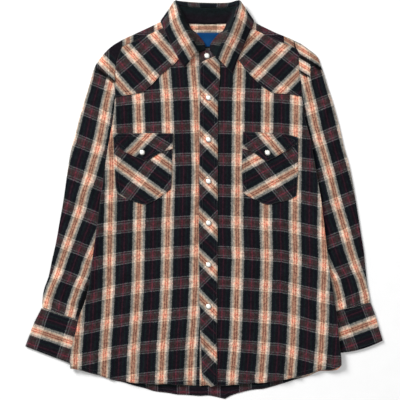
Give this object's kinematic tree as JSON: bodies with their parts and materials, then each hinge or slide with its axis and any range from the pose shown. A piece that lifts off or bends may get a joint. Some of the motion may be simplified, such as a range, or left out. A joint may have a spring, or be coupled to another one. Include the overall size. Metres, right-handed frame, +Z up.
{
  "type": "western snap shirt",
  "caption": "Long-sleeved flannel western shirt lying flat, with a turned-down collar, pointed yokes, flapped chest pockets, deep cuffs and a bias placket closed by pearl snaps.",
  "frame": {"origin": "middle of the shirt's outline seen from above, on the surface that it lies on", "axes": "+X to the right of someone who looks down on the front with the collar away from them, +Y towards the collar, +Z up from the surface"},
  "size_m": [0.751, 0.835, 0.0225],
  "materials": {
    "flannel": "brushed cotton flannel, plaid in near black, wine, rust and cream",
    "flannel_bias": "the same flannel cut on the bias or crosswise",
    "label": "plain woven satin",
    "pearl": "pearl",
    "snap_metal": "plated"
  },
  "bodies": {
    "root": {"back": "flannel", "back_yoke": "flannel_bias", "front_left": "flannel", "front_right": "flannel", "front_yoke_left": "flannel_bias", "front_yoke_right": "flannel_bias", "placket": "flannel_bias", "pocket_left": "flannel_bias", "pocket_right": "flannel_bias", "pocket_flap_left": "flannel_bias", "pocket_flap_right": "flannel_bias", "sleeve_left": "flannel", "sleeve_right": "flannel", "cuff_left": "flannel_bias", "cuff_right": "flannel_bias", "collar_stand": "flannel_bias", "collar_leaf": "flannel_bias", "neck_label": "label", "snap_1_ring": "snap_metal", "snap_1_pearl": "pearl", "snap_2_ring": "snap_metal", "snap_2_pearl": "pearl", "snap_3_ring": "snap_metal", "snap_3_pearl": "pearl", "snap_4_ring": "snap_metal", "snap_4_pearl": "pearl", "snap_5_ring": "snap_metal", "snap_5_pearl": "pearl", "snap_6_ring": "snap_metal", "snap_6_pearl": "pearl", "snap_7_ring": "snap_metal", "snap_7_pearl": "pearl", "pocket_snap_left_ring": "snap_metal", "pocket_snap_left_pearl": "pearl", "pocket_snap_right_ring": "snap_metal", "pocket_snap_right_pearl": "pearl"}
  },
  "joints": []
}
